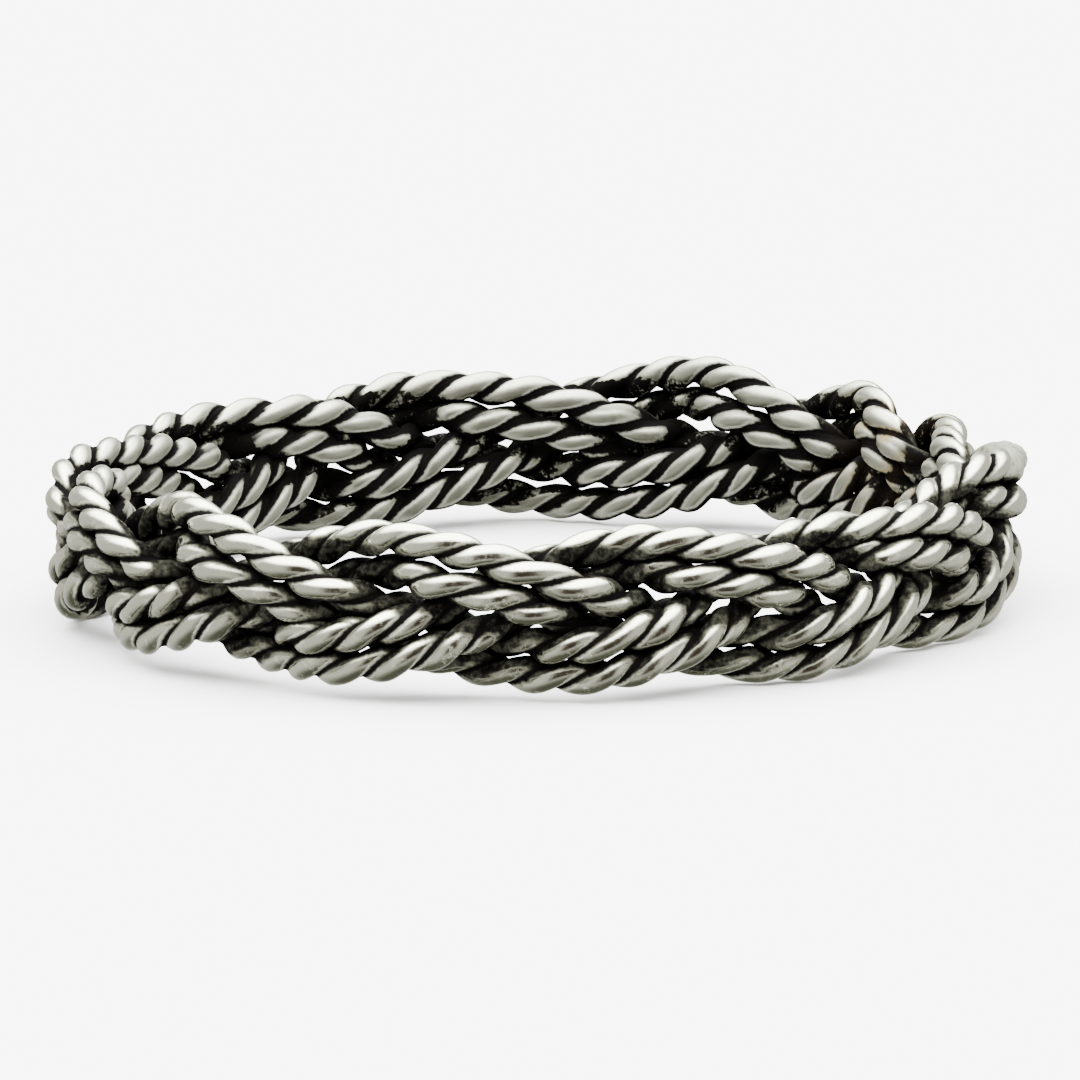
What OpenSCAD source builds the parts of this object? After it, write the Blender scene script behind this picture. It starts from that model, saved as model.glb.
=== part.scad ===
// Braided band ring, lying on its side on the floor.
// Three strands are plaited into a flat band and each strand closes on itself.
// A strand is a pair of ropes, an upper one and a lower one, that run side by side.
// Each rope is two round wires twisted together, so its section is longer than it is
// thick and it turns as it runs. The finger goes through along Z.
// Angles go round the ring from the front (-Y) towards the right (+X).

/* [Band] */
// Radius of the middle of the band's thickness
band_radius = 9.5; // [7:0.05:12]
// Height of the middle of the band above the floor
band_middle = 1.76; // [1.2:0.01:2.4]

/* [Strands] */
// Height that a strand swings above and below the middle of the band
swing = 1.04; // [0.6:0.01:1.4]
// Share of the swing taken off the crests, which makes them flat
crest_flat = 0.01; // [0:0.01:0.2]
// Half the distance between the two ropes of a strand
pair_half = 0.355; // [0.3:0.005:0.5]
// How much wider the pair is half way between a crest and a trough, and how much
// narrower at the crest and the trough
pair_slack = 0.035; // [0:0.005:0.1]

/* [Crossings] */
// Depth of the crossings, in and out from the middle of the band
cross_depth = 0.63; // [0.3:0.01:0.8]
// Softness of the change from over to under
cross_ease = 0.7; // [0.4:0.05:2]
// How much later the upper rope crosses over than the lower one
cross_lag = 0.12; // [0:0.01:0.6]
// How much longer the outer rope stays out at its crest
cross_stay = 0.33; // [0:0.01:0.6]

/* [Ropes] */
// Half width of a rope across both of its wires
rope_wide = 0.32; // [0.2:0.01:0.4]
// Half thickness of a rope across one wire
rope_thin = 0.16; // [0.1:0.01:0.3]
// Turns of twist in one rope on its whole way round
rope_turns = 31; // [20:1:44]
// Sections in one turn of twist
sections_per_turn = 7; // [4:1:10]

/* [Crests] */
// One row for each top crest of the plait, in order round the ring:
// [angle of the crest, extra height of the crest, extra depth of the trough after it,
// extra half distance of the pair at the crest, the same at the trough after it]
CRESTS = [
  [-16, 0.16, -0.09, 0, 0.03],
  [15.5, 0.03, 0.07, -0.01, 0.01],
  [44.5, -0.22, 0.05, 0.03, 0.01],
  [76.5, 0.06, -0.08, 0.02, 0.01],
  [110.5, -0.28, 0.05, 0.03, 0],
  [129, 0.08, -0.06, -0.03, -0.03],
  [156, 0.32, -0.03, -0.05, 0.06],
  [193, -0.07, 0.01, 0.03, 0.02],
  [222, -0.24, 0, 0.05, -0.01],
  [259.5, -0.02, 0.08, -0.03, 0.01],
  [282, 0.01, -0.12, 0.04, 0],
  [311.5, 0.28, -0.21, -0.01, 0.04]
];

/* [Hidden] */

silver = [0.62, 0.61, 0.58];
silver_dark = [0.42, 0.41, 0.39];
// Columns of the table
ANGLE = 0;
TOP = 1;
LOW = 2;
TOP_OPEN = 3;
LOW_OPEN = 4;
crest_count = len(CRESTS);
// Strands in the plait, which share out the crests between them
strands = 3;
// Run of the plait in degrees, 360 for each full wave of a strand
run_all = 360 * crest_count / strands;
run_step = run_all / crest_count;
sections = rope_turns * sections_per_turn;

// A value of the table's column at a place between two crests, on a smooth curve.
// The angle column goes on past 360 instead of starting again.
function at_crest(column, i) =
  let (wraps = floor(i / crest_count))
  CRESTS[i - wraps * crest_count][column] + (column == ANGLE ? 360 * wraps : 0);

function between(p0, p1, p2, p3, f) =
  0.5 * (2 * p1 + (p2 - p0) * f + (2 * p0 - 5 * p1 + 4 * p2 - p3) * f * f
    + (3 * p1 - p0 - 3 * p2 + p3) * f * f * f);

function along_crests(column, place) =
  let (i = floor(place))
  between(at_crest(column, i - 1), at_crest(column, i), at_crest(column, i + 1),
    at_crest(column, i + 2), place - i);

// Height of a strand's middle in its wave, which is highest at wave 0
function strand_height(wave) = swing * cos(wave) - crest_flat * cos(3 * wave);

// Depth of a rope in the band at its wave, outwards positive. side is 1 for the
// upper rope of the strand and -1 for the lower one.
function rope_depth(wave, side) =
  let (q = sin(2 * wave) + side * (cross_lag * sin(wave) - cross_stay * sin(3 * wave)))
  cross_depth * q / sqrt(q * q + cross_ease * cross_ease);

// The rope that is outermost at a crest or a trough follows it in full and its
// neighbour in part
function crest_lift(run, wave, side) =
  along_crests(TOP, run / run_step) * pow(max(cos(wave), 0), 2) * (side > 0 ? 1 : 0.4);

function trough_drop(run, wave, side) =
  along_crests(LOW, run / run_step - 0.5) * pow(max(-cos(wave), 0), 2) * (side < 0 ? 1 : 0.4);

// Half the distance between the ropes of a pair, place by place
function pair_half_at(run, wave) =
  pair_half - pair_slack * cos(2 * wave)
  + along_crests(TOP_OPEN, run / run_step) * pow(max(cos(wave), 0), 2)
  + along_crests(LOW_OPEN, run / run_step - 0.5) * pow(max(-cos(wave), 0), 2);

// Point on the middle line of a rope
function rope_point(run, strand, side) =
  let (wave = run + 360 / strands * strand)
  let (angle = along_crests(ANGLE, run / run_step))
  let (radius = band_radius + rope_depth(wave, side))
  let (height = band_middle + strand_height(wave) + side * pair_half_at(run, wave)
    + crest_lift(run, wave, side) - trough_drop(run, wave, side))
  [radius * sin(angle), -radius * cos(angle), height];

function unit(v) = v / norm(v);

// Running length of a closed line of points, one value for each point
function lengths(line) =
  [for (i = 0, s = 0; i < len(line); s = s + norm(line[(i + 1) % len(line)] - line[i]), i = i + 1) s];

// The rope's section: two wires side by side, with flat faces
SECTION = [
  [rope_wide, 0],
  [rope_wide / 2, rope_thin],
  [-rope_wide / 2, rope_thin],
  [-rope_wide, 0],
  [-rope_wide / 2, -rope_thin],
  [rope_wide / 2, -rope_thin]
];

// One section set across the line at a point and turned by the twist
function placed_section(point, ahead, twist) =
  let (outward = unit([point.x, point.y, 0]))
  let (across = unit(outward - (outward * ahead) * ahead))
  let (up = cross(ahead, across))
  [for (p = SECTION)
    point + (p.x * cos(twist) - p.y * sin(twist)) * across
      + (p.x * sin(twist) + p.y * cos(twist)) * up];

// A closed rope. start is the twist at the front of the ring.
module rope(strand, side, start) {
  n = sections;
  m = len(SECTION);
  line = [for (i = [0 : n - 1]) rope_point(run_all * i / n, strand, side)];
  run = lengths(line);
  whole = run[n - 1] + norm(line[0] - line[n - 1]);
  rings = [
    for (i = [0 : n - 1])
      placed_section(line[i], unit(line[(i + 1) % n] - line[(i + n - 1) % n]),
        start - 360 * rope_turns * run[i] / whole)
  ];
  points = [for (r = rings) for (p = r) p];
  faces = [
    for (i = [0 : n - 1])
      for (j = [0 : m - 1])
        let (a = i * m + j)
        let (b = i * m + (j + 1) % m)
        let (c = ((i + 1) % n) * m + j)
        let (d = ((i + 1) % n) * m + (j + 1) % m)
        for (f = [[a, d, b], [a, c, d]]) f
  ];
  polyhedron(points = points, faces = faces, convexity = 12);
}

module strand_1_upper_rope() {
  color(silver) rope(strand = 0, side = 1, start = 90);
}

module strand_1_lower_rope() {
  color(silver_dark) rope(strand = 0, side = -1, start = 165);
}

module strand_2_upper_rope() {
  color(silver) rope(strand = 1, side = 1, start = 30);
}

module strand_2_lower_rope() {
  color(silver_dark) rope(strand = 1, side = -1, start = 135);
}

module strand_3_upper_rope() {
  color(silver) rope(strand = 2, side = 1, start = 60);
}

module strand_3_lower_rope() {
  color(silver_dark) rope(strand = 2, side = -1, start = 0);
}

strand_1_upper_rope();
strand_1_lower_rope();
strand_2_upper_rope();
strand_2_lower_rope();
strand_3_upper_rope();
strand_3_lower_rope();
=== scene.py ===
import math
import bpy
import numpy as np
from mathutils import Matrix, Vector, kdtree


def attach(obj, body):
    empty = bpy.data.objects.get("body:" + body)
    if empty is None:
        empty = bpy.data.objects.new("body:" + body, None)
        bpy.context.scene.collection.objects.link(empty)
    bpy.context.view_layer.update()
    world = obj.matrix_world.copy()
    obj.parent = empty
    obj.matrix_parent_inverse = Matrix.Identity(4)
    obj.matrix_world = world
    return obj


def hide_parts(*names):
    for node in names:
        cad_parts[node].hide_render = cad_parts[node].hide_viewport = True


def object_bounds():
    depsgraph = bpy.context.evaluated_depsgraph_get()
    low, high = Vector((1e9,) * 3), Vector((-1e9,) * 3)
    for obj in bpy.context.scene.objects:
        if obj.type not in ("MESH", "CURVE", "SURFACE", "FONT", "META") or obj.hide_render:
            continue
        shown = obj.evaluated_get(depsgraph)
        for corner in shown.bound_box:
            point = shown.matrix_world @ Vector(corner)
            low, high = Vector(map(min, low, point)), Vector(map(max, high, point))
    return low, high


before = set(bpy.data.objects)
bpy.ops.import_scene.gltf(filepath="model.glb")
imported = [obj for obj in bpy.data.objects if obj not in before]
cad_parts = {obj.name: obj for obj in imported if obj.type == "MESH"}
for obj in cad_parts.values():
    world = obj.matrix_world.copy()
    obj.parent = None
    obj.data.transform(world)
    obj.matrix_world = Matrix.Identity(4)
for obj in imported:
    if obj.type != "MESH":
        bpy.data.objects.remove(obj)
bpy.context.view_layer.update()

MM = 0.001

# Sizes, in millimetres. The ropes' middle lines are those of the CAD part.
BAND_RADIUS = 9.5
BAND_MIDDLE = 1.76
SWING = 1.04
CREST_FLAT = 0.01
PAIR_HALF = 0.355
PAIR_SLACK = 0.035
CROSS_DEPTH = 0.63
WIRE_RADIUS = 0.235
WIRE_REACH = 0.155
FILL_RADIUS = 0.235
# Crossings: softness of the change from over to under, how much later the upper rope
# crosses, and how much longer the outer rope of a crest stays out
CROSS_EASE = 0.7
CROSS_LAG = 0.12
CROSS_STAY = 0.33
# share of a crest's lift that the rope next to the outer one takes
NEIGHBOUR_SHARE = 0.4
ROPE_TURNS = 31
# angle of each top crest, extra height of the crest, extra depth of the trough after it,
# extra half distance of the pair at the crest, the same at the trough
CRESTS = [
    (-16, 0.16, -0.09, 0, 0.03),
    (15.5, 0.03, 0.07, -0.01, 0.01),
    (44.5, -0.22, 0.05, 0.03, 0.01),
    (76.5, 0.06, -0.08, 0.02, 0.01),
    (110.5, -0.28, 0.05, 0.03, 0),
    (129, 0.08, -0.06, -0.03, -0.03),
    (156, 0.32, -0.03, -0.05, 0.06),
    (193, -0.07, 0.01, 0.03, 0.02),
    (222, -0.24, 0, 0.05, -0.01),
    (259.5, -0.02, 0.08, -0.03, 0.01),
    (282, 0.01, -0.12, 0.04, 0),
    (311.5, 0.28, -0.21, -0.01, 0.04),
]
ANGLE, TOP, LOW, TOP_OPEN, LOW_OPEN = range(5)
# strand, side (1 upper, -1 lower) and twist at the front in degrees, for each rope
ROPES = {
    "strand_1_upper_rope": (0, 1, 90),
    "strand_1_lower_rope": (0, -1, 165),
    "strand_2_upper_rope": (1, 1, 30),
    "strand_2_lower_rope": (1, -1, 135),
    "strand_3_upper_rope": (2, 1, 60),
    "strand_3_lower_rope": (2, -1, 0),
}
# Soft unevenness of the wires: waves on the way round and share, and how many waves more
# the second, faster row of waves has
TWIST_WAVES, TWIST_SHARE = 19, 0.22
REACH_WAVES, REACH_SHARE = 27, 0.14
WIDTH_WAVES, WIDTH_SHARE = 33, 0.07
MORE_WAVES = 14
# Radii of the balls that feel how open the surface is, and how far one of them has to
# reach into the other wires to count as 1
SMALL_BALL = 0.15
LARGE_BALL = 1.2
FULL_DEPTH = 0.4
# distance from the rope's middle line at which the groove between its wires ends
GROOVE_EDGE = 0.25
# Solder that smooths one rope over at the right end of the band and fills the dip behind
# its crest: its angles round the ring, its radius, how far its line lies outside the
# rope's line, how far it has risen above it at its back end, and about how many rings of
# points it has
SOLDER_ROPE = "strand_1_upper_rope"
SOLDER_ANGLES = (79, 106)
SOLDER_RADIUS = 0.33
SOLDER_OUT = 0.1
SOLDER_LIFT = 0.6
SOLDER_RINGS = 40
# Middle of the brown stain, in metres
STAIN_PLACE = (0.0078, 0.0046, 0.0024)

# Wear that is stored with the points and read by the material: how closed in a place is
# for the small and for the large ball, how far it faces outwards, and its height between
# groove and crown. The black core has its own values for all but outwards.
FILL_WEAR = (1, 1.3, 0)
SOLDER_WEAR = (0.12, 0.45, 0.6, 0.62)
# The same for the outside and the inside of the band: how open a place has to be, where
# the change to polish starts and ends round that, and between which heights it comes
OPEN_LIMIT = (0.81, 1.03)
OPEN_FROM = (-0.25, 0.04)
OPEN_TO = (0.22, 0.12)
CROWN_FROM = (-0.02, 0.25)
CROWN_TO = (0.48, 0.65)

# Colours
OXIDE = (0.0016, 0.0014, 0.0012, 1)
OXIDE_STAINED = (0.004, 0.0024, 0.0012, 1)
DULL = (0.21, 0.214, 0.155, 1)
BRIGHT = (0.71, 0.724, 0.585, 1)
DULL_INSIDE = (0.21, 0.214, 0.16, 1)
BRIGHT_INSIDE = (0.44, 0.45, 0.365, 1)
AMBER = (0.36, 0.30, 0.16, 1)
FLOOR = (0.97, 0.97, 0.97, 1)
TENT_SIDES = (0.85, 0.85, 0.82, 1)
TENT_TOP = (14.0, 14.0, 14.0, 1)
TENT_BELOW = (0.12, 0.125, 0.10, 1)
TENT_OPENING = (0.06, 0.042, 0.03, 1)

STEPS_PER_TURN = 30
SIDES = 16
RING_STEPS = ROPE_TURNS * STEPS_PER_TURN
LINE_STEPS = 5760
FLAT = np.array([1.0, 1.0, 0.0])
UPWARDS = np.array([0.0, 0.0, 1.0])


# The ropes' middle lines
def along_crests(column, place):
    """A value of the table's column between two crests, on a smooth curve."""
    count = len(CRESTS)
    values = np.array([row[column] for row in CRESTS], float)
    i = np.floor(place).astype(int)
    f = place - i

    def at(j):
        return values[j % count] + (360.0 * np.floor(j / count) if column == ANGLE else 0.0)

    p0, p1, p2, p3 = at(i - 1), at(i), at(i + 1), at(i + 2)
    return 0.5 * (2 * p1 + (p2 - p0) * f + (2 * p0 - 5 * p1 + 4 * p2 - p3) * f ** 2
                  + (3 * p1 - p0 - 3 * p2 + p3) * f ** 3)


def rope_line(name, count=LINE_STEPS):
    """The middle line of a rope. A strand has four waves on its way round, and three
    strands share out the twelve crests, one every 120 degrees of a wave."""
    strand, side = ROPES[name][:2]
    run =np.arange(count) / count * 1440.0
    wave = np.radians(run + 120.0 * strand)
    crest, trough = run / 120, run / 120 - 0.5
    q = np.sin(2 * wave) + side * (CROSS_LAG * np.sin(wave) - CROSS_STAY * np.sin(3 * wave))
    radius = BAND_RADIUS + CROSS_DEPTH * q / np.sqrt(q * q + CROSS_EASE ** 2)
    at_top = np.clip(np.cos(wave), 0, None) ** 2
    at_low = np.clip(-np.cos(wave), 0, None) ** 2
    half = PAIR_HALF - PAIR_SLACK * np.cos(2 * wave)
    half = half + along_crests(TOP_OPEN, crest) * at_top + along_crests(LOW_OPEN, trough) * at_low
    lift = along_crests(TOP, crest) * at_top * (1 if side > 0 else NEIGHBOUR_SHARE)
    drop = along_crests(LOW, trough) * at_low * (1 if side < 0 else NEIGHBOUR_SHARE)
    height = SWING * np.cos(wave) - CREST_FLAT * np.cos(3 * wave) + side * half + lift - drop
    angle = np.radians(along_crests(ANGLE, crest))
    return np.stack([radius * np.sin(angle), -radius * np.cos(angle), BAND_MIDDLE + height], 1)


def unit(v):
    return v / np.linalg.norm(v, axis=1)[:, None]


def evenly(line, count):
    """The closed line again, with its points the same distance apart."""
    step = np.linalg.norm(np.roll(line, -1, 0) - line, axis=1)
    at = np.r_[0, np.cumsum(step)]
    closed = np.vstack([line, line[:1]])
    want = np.arange(count) / count * at[-1]
    return np.stack([np.interp(want, at, closed[:, c]) for c in range(3)], 1)


def closed_ahead(line):
    return unit(np.roll(line, -1, 0) - np.roll(line, 1, 0))


def square_to(line, ahead):
    """Two directions square to the line: the first outwards from the ring."""
    outward = unit(line * FLAT)
    across = unit(outward - (outward * ahead).sum(1)[:, None] * ahead)
    return across, np.cross(ahead, across)


def uneven(name, which, waves, share):
    """1 on average, with a share more and less in soft waves along the wire."""
    seed = 10 * list(ROPES).index(name) + which + waves
    starts = np.random.RandomState(seed).uniform(0, 2 * math.pi, 2)
    turn = 2 * math.pi * np.arange(RING_STEPS) / RING_STEPS
    return 1 + share * 0.5 * (np.sin(waves * turn + starts[0])
                              + np.sin((waves + MORE_WAVES) * turn + starts[1]))


def wire_line(name, which):
    line = evenly(rope_line(name), RING_STEPS)
    across, up = square_to(line, closed_ahead(line))
    turns = ROPE_TURNS * np.arange(RING_STEPS) / RING_STEPS
    twist = math.radians(ROPES[name][2] + 180 * which) - 2 * math.pi * turns
    twist = twist + uneven(name, 0, TWIST_WAVES, TWIST_SHARE) - 1
    reach = WIRE_REACH * uneven(name, which, REACH_WAVES, REACH_SHARE)
    return line + reach[:, None] * (np.cos(twist)[:, None] * across
                                    + np.sin(twist)[:, None] * up)


WIRES = {(name, w): wire_line(name, w) for name in ROPES for w in (0, 1)}


# How open the surface is
def trees():
    """For each wire, a tree of the points of all the other wires."""
    result = {}
    for own in WIRES:
        points = np.vstack([WIRES[k] for k in WIRES if k != own])
        tree = kdtree.KDTree(len(points))
        for i, p in enumerate(points):
            tree.insert(p, i)
        tree.balance()
        result[own] = tree
    return result


TREES = trees()


def depth_under(points, normals, own, ball):
    """How far the surface lies out of reach of a ball of that radius: 0 where the ball
    fits on it, and 1 where the ball would have to go FULL_DEPTH into the other wires."""
    centres = points + normals * ball
    near = np.array([TREES[own].find(c)[2] for c in centres])
    return np.clip((ball + WIRE_RADIUS - near) / FULL_DEPTH, 0, 1)


def height_on_rope(points, middle_line):
    """0 in the groove between a rope's wires and 1 on the crown of a wire. The points
    come in rings, one for each point of the rope's middle line."""
    away = np.linalg.norm(points.reshape(-1, SIDES, 3) - middle_line[:, None, :], axis=2)
    return np.clip((away.ravel() - GROOVE_EDGE) / (WIRE_REACH + WIRE_RADIUS - GROOVE_EDGE), 0, 1)


# Meshes
def tube(line, ahead, radius):
    """Points in rings round the line, and the normals at them."""
    across, up = square_to(line, ahead)
    turn = 2 * math.pi * np.arange(SIDES) / SIDES
    normals = (np.cos(turn)[None, :, None] * across[:, None, :]
               + np.sin(turn)[None, :, None] * up[:, None, :])
    points = line[:, None, :] + radius * normals
    return points.reshape(-1, 3), normals.reshape(-1, 3)


def tube_faces(count, closed):
    i = np.arange(count if closed else count - 1)[:, None]
    j = np.arange(SIDES)[None, :]
    following = (i + 1) % count
    beside = (j + 1) % SIDES
    return np.stack([i * SIDES + j, i * SIDES + beside,
                     following * SIDES + beside, following * SIDES + j], -1).reshape(-1, 4)


def add_piece(piece_name, name, points, faces, wear, material):
    mesh = bpy.data.meshes.new(piece_name)
    mesh.from_pydata((points * MM).tolist(), [], faces)
    mesh.update()
    mesh.polygons.foreach_set("use_smooth", np.ones(len(mesh.polygons), bool))
    attribute = mesh.attributes.new("wear", "FLOAT_COLOR", "POINT")
    attribute.data.foreach_set("color", wear.astype(np.float32).ravel())
    mesh.materials.append(material)
    piece = bpy.data.objects.new(piece_name, mesh)
    bpy.context.collection.objects.link(piece)
    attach(piece, "root")
    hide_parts(name)


def wire_tube(name, which, middle_line):
    """Points of one wire, and its small, large and crown wear."""
    line = WIRES[(name, which)]
    radius = WIRE_RADIUS * uneven(name, which, WIDTH_WAVES, WIDTH_SHARE)
    points, normals = tube(line, closed_ahead(line), radius[:, None, None])
    own = (name, which)
    wear = (depth_under(points, normals, own, SMALL_BALL),
            depth_under(points, normals, own, LARGE_BALL),
            height_on_rope(points, middle_line))
    return points, normals, wear


def fill_tube(name):
    """Points of the black oxide in the groove between a rope's wires, and its wear."""
    line = evenly(rope_line(name), RING_STEPS // 2)
    points, normals = tube(line, closed_ahead(line), FILL_RADIUS)
    return points, normals, [np.full(len(points), value) for value in FILL_WEAR]


def rope_mesh(name, material):
    """Two wires, and the black oxide that fills the groove between them."""
    middle_line = evenly(rope_line(name), RING_STEPS)
    tubes = [wire_tube(name, 0, middle_line), wire_tube(name, 1, middle_line), fill_tube(name)]
    all_points, faces, wear = [], [], []
    base = 0
    for points, normals, (small, large, crown) in tubes:
        outwards = (normals * unit(points * FLAT)).sum(1) * 0.5 + 0.5
        all_points.append(points)
        faces.append(tube_faces(len(points) // SIDES, True) + base)
        wear.append(np.stack([small, large, outwards, crown], 1))
        base += len(points)
    add_piece(name + "_wires", name, np.vstack(all_points), np.vstack(faces).tolist(),
              np.vstack(wear), material)


def solder_mesh(material):
    """A smooth closed sleeve along part of a rope, thinner at its ends."""
    line = rope_line(SOLDER_ROPE)
    angle = np.degrees(np.arctan2(line[:, 0], -line[:, 1]))
    line = line[(angle >= SOLDER_ANGLES[0]) & (angle <= SOLDER_ANGLES[1])]
    line = line[::max(1, len(line) // SOLDER_RINGS)]
    count = len(line)
    along = np.linspace(0, 1, count)
    line = line + SOLDER_OUT * unit(line * FLAT)
    line = line + SOLDER_LIFT * (along ** 1.5)[:, None] * UPWARDS
    turn = 2 * math.pi * np.arange(SIDES) / SIDES
    # soft waves along the sleeve, one that leans from side to side and one all round
    lumps = (1 + 0.06 * np.sin(17 * along)[:, None] * np.cos(turn)[None, :]
             + 0.05 * np.sin(29 * along + 1)[:, None])
    rounded = np.sqrt(np.clip(1 - (2 * along - 1) ** 4, 0.02, 1))
    radius = SOLDER_RADIUS * rounded[:, None] * lumps
    points = tube(line, unit(np.gradient(line, axis=0)), radius[:, :, None])[0]
    caps =[list(range(SIDES))[::-1], [(count - 1) * SIDES + j for j in range(SIDES)]]
    faces = tube_faces(count, False).tolist() + caps
    add_piece("solder", SOLDER_ROPE, points, faces, np.tile(SOLDER_WEAR, len(points)), material)


# Materials
class Nodes:
    """Short calls that add nodes to a tree and link them."""

    def __init__(self, tree):
        self.tree = tree
        self.tree.nodes.clear()

    def add(self, kind, **values):
        node = self.tree.nodes.new(kind)
        for key, value in values.items():
            setattr(node, key, value)
        return node

    def link(self, a, b):
        self.tree.links.new(a, b)

    def put(self, socket, value):
        if hasattr(value, "links"):
            self.link(value, socket)
        else:
            socket.default_value = value

    def math(self, op, a, b=0.0, clamp=False):
        node = self.add("ShaderNodeMath", operation=op, use_clamp=clamp)
        self.put(node.inputs[0], a)
        self.put(node.inputs[1], b)
        return node.outputs[0]

    def plus(self, a, b):
        return self.math("ADD", a, b)

    def minus(self, a, b):
        return self.math("SUBTRACT", a, b)

    def times(self, a, b):
        return self.math("MULTIPLY", a, b)

    def vector(self, op, a, b, output):
        node = self.add("ShaderNodeVectorMath", operation=op)
        self.link(a, node.inputs[0])
        if b is not None:
            node.inputs[1].default_value = b
        return node.outputs[output]

    def xyz(self, vector):
        node = self.add("ShaderNodeSeparateXYZ")
        self.link(vector, node.inputs[0])
        return node.outputs

    def mix(self, fac, a, b):
        node = self.add("ShaderNodeMix", data_type="RGBA")
        self.put(node.inputs[0], fac)
        self.put(node.inputs[6], a)
        self.put(node.inputs[7], b)
        return node.outputs[2]

    def ramp(self, value, low, high, to_low=0.0, to_high=1.0, smooth=True):
        node = self.add("ShaderNodeMapRange",
                        interpolation_type="SMOOTHSTEP" if smooth else "LINEAR")
        for s, v in zip(node.inputs, (value, low, high, to_low, to_high)):
            self.put(s, v)
        return node.outputs[0]

    def noise(self, scale, detail, rough, vector):
        node = self.add("ShaderNodeTexNoise")
        node.inputs["Scale"].default_value = scale
        node.inputs["Detail"].default_value = detail
        node.inputs["Roughness"].default_value = rough
        self.link(vector, node.inputs["Vector"])
        return node.outputs["Fac"]


def new_material(name):
    """A material with one principled shader, that shader, and its nodes."""
    material = bpy.data.materials.new(name)
    material.use_nodes = True
    n = Nodes(material.node_tree)
    out = n.add("ShaderNodeOutputMaterial")
    shader = n.add("ShaderNodeBsdfPrincipled")
    n.link(shader.outputs[0], out.inputs[0])
    return material, shader, n


def silver_material():
    """Silver that is polished where something can rub it and black elsewhere."""
    material, shader, n = new_material("darkened_silver")
    place = n.add("ShaderNodeTexCoord").outputs["Object"]
    wear = n.add("ShaderNodeAttribute", attribute_name="wear")
    parts = n.add("ShaderNodeSeparateColor")
    n.link(wear.outputs["Color"], parts.inputs[0])
    small, large, outwards = parts.outputs[0], parts.outputs[1], parts.outputs[2]
    blotch = n.noise(1400, 4, 0.6, place)
    fine = n.noise(9000, 3, 0.6, place)
    grain = n.noise(32000, 2, 0.5, place)
    wander = n.plus(n.times(n.minus(blotch, 0.5), 0.22), n.times(n.minus(fine, 0.5), 0.18))
    inside = n.ramp(outwards, 0.52, 0.30)

    def by_side(values):
        return n.ramp(inside, 0.0, 1.0, *values, smooth=False)

    # narrow places stay black
    small = n.plus(small, wander)
    tight = n.ramp(n.minus(small, n.times(inside, 0.04)), 0.0, 0.26, 1.0, 0.0)
    # so do ropes that lie back in the band, with a softer edge on the outside
    open_by = n.minus(by_side(OPEN_LIMIT), n.plus(large, n.times(wander, 1.5)))
    wide = n.ramp(open_by, by_side(OPEN_FROM), by_side(OPEN_TO))
    # and the flanks of the wires
    crown = n.plus(wear.outputs["Alpha"], n.times(wander, 1.5))
    crowned = n.ramp(crown, by_side(CROWN_FROM), by_side(CROWN_TO))
    # below the top crests, the inside is polished only where it faces the finger
    low = n.times(n.ramp(outwards, 0.58, 0.46), n.ramp(n.xyz(place)[2], 0.0030, 0.0024))
    from_axis = n.vector("LENGTH", n.vector("MULTIPLY", place, (1, 1, 0), 0), None, 1)
    low = n.times(low, n.ramp(from_axis, 0.0098, 0.0092))
    facing = n.ramp(n.plus(outwards, n.times(wander, 0.4)), 0.03, 0.20, 1.0, 0.0)
    faced = n.minus(1.0, n.times(low, n.minus(1.0, facing)))
    clean = n.times(n.times(tight, wide), n.times(crowned, faced))

    bare = n.times(n.ramp(small, 0.0, 0.4, 1.0, 0.0), n.ramp(open_by, 0.0, 0.5))
    metal = n.mix(inside, n.mix(bare, DULL, BRIGHT), n.mix(bare, DULL_INSIDE, BRIGHT_INSIDE))
    # a brown stain on the inside of the band at the back right
    stained = n.times(n.ramp(n.vector("DISTANCE", place, STAIN_PLACE, 1), 0.0036, 0.0008),
                      n.ramp(blotch, 0.42, 0.62))
    edge = n.times(n.times(clean, n.minus(1.0, clean)), 4.0)
    metal = n.mix(n.math("MULTIPLY", stained, edge, clamp=True), metal, AMBER)
    n.link(n.mix(clean, n.mix(stained, OXIDE, OXIDE_STAINED), metal),
           shader.inputs["Base Color"])
    n.link(clean, shader.inputs["Metallic"])
    shader.inputs["Specular IOR Level"].default_value = 0.02

    polish = n.ramp(n.plus(fine, n.times(blotch, 0.6)), 0.5, 1.1, 0.12, 0.26, smooth=False)
    rough = n.add("ShaderNodeMix", data_type="FLOAT")
    n.put(rough.inputs[0], clean)
    rough.inputs[2].default_value = 0.7
    n.put(rough.inputs[3], n.plus(polish, n.times(inside, 0.22)))
    n.link(rough.outputs[0], shader.inputs["Roughness"])
    bump = n.add("ShaderNodeBump")
    bump.inputs["Strength"].default_value = 0.35
    bump.inputs["Distance"].default_value = 0.000012
    height = n.plus(n.times(fine, 0.8), n.times(grain, 0.25))
    n.link(n.plus(height, n.times(clean, 0.5)), bump.inputs["Height"])
    n.link(bump.outputs[0], shader.inputs["Normal"])
    return material


def floor_material():
    material, shader = new_material("pale_floor")[:2]
    shader.inputs["Base Color"].default_value = FLOOR
    shader.inputs["Roughness"].default_value = 0.95
    shader.inputs["Specular IOR Level"].default_value = 0.1
    return material


silver = silver_material()
for rope_name in ROPES:
    rope_mesh(rope_name, silver)
solder_mesh(silver)

# Floor, with half its width in metres
FLOOR_HALF = 1.2
floor_mesh = bpy.data.meshes.new("floor")
corners = [(x * FLOOR_HALF, y * FLOOR_HALF, 0) for x, y in ((-1, -1), (1, -1), (1, 1), (-1, 1))]
floor_mesh.from_pydata(corners, [], [(0, 1, 2, 3)])
floor = bpy.data.objects.new("floor", floor_mesh)
bpy.context.collection.objects.link(floor)
floor_mesh.materials.append(floor_material())
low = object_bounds()[0][2]
floor.location = (0, 0, min(0.0, low))
floor.visible_glossy = False

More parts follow.
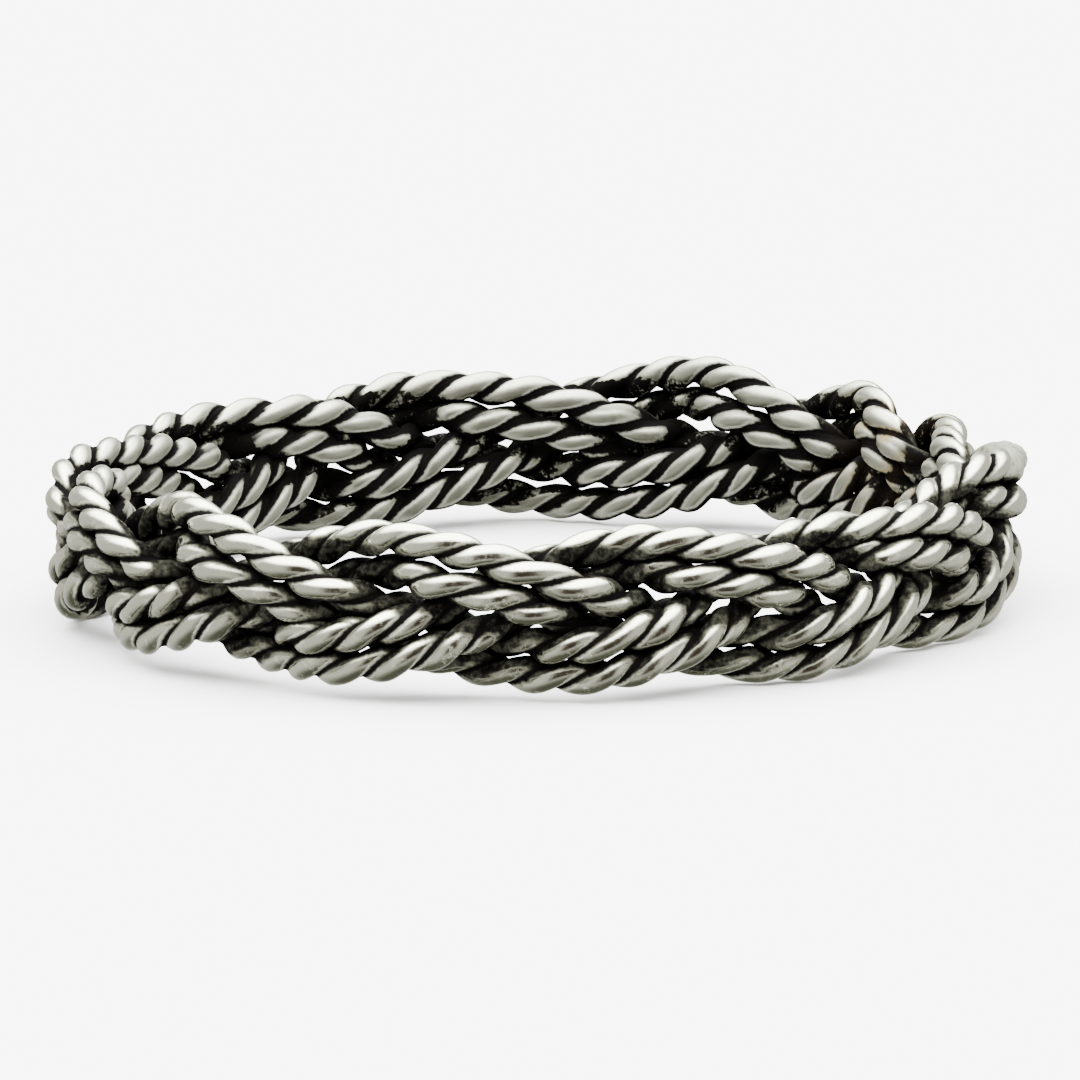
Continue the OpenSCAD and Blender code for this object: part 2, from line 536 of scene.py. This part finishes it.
# Light: a white tent, brightest overhead, with a dark opening at the front
world = bpy.data.worlds.new("studio")
bpy.context.scene.world = world
world.use_nodes = True
w = Nodes(world.node_tree)
out = w.add("ShaderNodeOutputWorld")
back = w.add("ShaderNodeBackground")
w.link(back.outputs[0], out.inputs[0])
dir_x, dir_y, dir_z = w.xyz(w.add("ShaderNodeTexCoord").outputs["Generated"])
tent = w.mix(w.ramp(dir_z, 0.40, 0.88), TENT_SIDES, TENT_TOP)
tent = w.mix(w.ramp(dir_z, -0.95, -0.30, 1.0, 0.0), tent, TENT_BELOW)
opening_width = w.ramp(w.math("ABSOLUTE", dir_x), 0.25, 0.72, 1.0, 0.0)
opening_height = w.ramp(w.math("ABSOLUTE", dir_z), 0.30, 0.62, 1.0, 0.0)
front = w.ramp(dir_y, -0.4, -0.1, 1.0, 0.0)
opening = w.times(front, w.times(opening_width, opening_height))
w.link(w.mix(opening, tent, TENT_OPENING), back.inputs[0])
back.inputs[1].default_value = 1.0

# Camera: angles in degrees, distance and target in millimetres, and the place of the
# ring's middle in a picture of 1080 by 1080
ELEVATION = 11.16
ROLL = 0.95
DISTANCE = 255.9
FOCAL_PX = 12037.0
CENTRE_PX = (536.7, 525.1)
TARGET_HEIGHT = 1.752
PICTURE_PX = 1080
SENSOR = 36
camera_data = bpy.data.cameras.new("camera")
camera = bpy.data.objects.new("camera", camera_data)
bpy.context.collection.objects.link(camera)
e, r = math.radians(ELEVATION), math.radians(ROLL)
back_way = Vector((0, -math.cos(e), math.sin(e)))
level_right = Vector((1, 0, 0))
level_up = Vector((0, math.sin(e), math.cos(e)))
right_way = math.cos(r) * level_right - math.sin(r) * level_up
up_way = math.sin(r) * level_right + math.cos(r) * level_up
aside, below = [(c - PICTURE_PX / 2) / FOCAL_PX * DISTANCE for c in CENTRE_PX]
aim = Vector((0, 0, TARGET_HEIGHT)) - right_way * aside + up_way * below
turn = Matrix((right_way, up_way, back_way)).transposed().to_4x4()
camera.matrix_world = Matrix.Translation((aim + back_way * DISTANCE) * MM) @ turn
camera_data.sensor_width = SENSOR
camera_data.lens = FOCAL_PX / PICTURE_PX * SENSOR
camera_data.clip_start = 0.01
camera_data.clip_end = 10
bpy.context.scene.camera = camera
